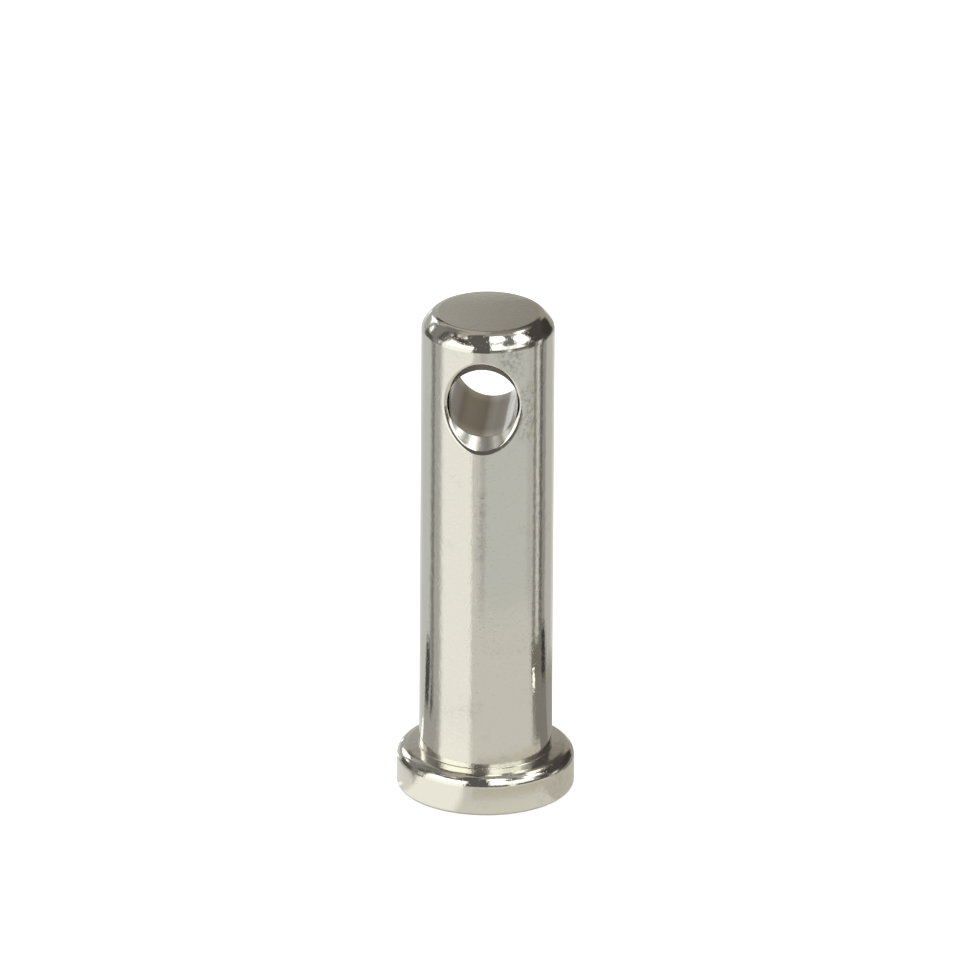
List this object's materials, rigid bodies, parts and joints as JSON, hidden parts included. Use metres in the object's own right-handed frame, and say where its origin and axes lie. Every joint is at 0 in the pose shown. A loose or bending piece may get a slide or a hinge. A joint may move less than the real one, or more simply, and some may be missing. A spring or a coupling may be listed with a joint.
{
  "type": "drilled bolt",
  "caption": "Plain headed pin bolt with a round flat head, a bevelled free end and a countersunk cross hole for a split pin or retaining clip.",
  "frame": {"origin": "centre of the head's flat outer face, the face that the bolt stands on", "axes": "+Z along the pin from the head to the free end; the cross hole runs along Y"},
  "size_m": [0.016, 0.016, 0.046],
  "materials": {
    "bright_metal": "polished and nickel plated"
  },
  "bodies": {
    "root": {"bolt": "bright_metal"}
  },
  "joints": []
}
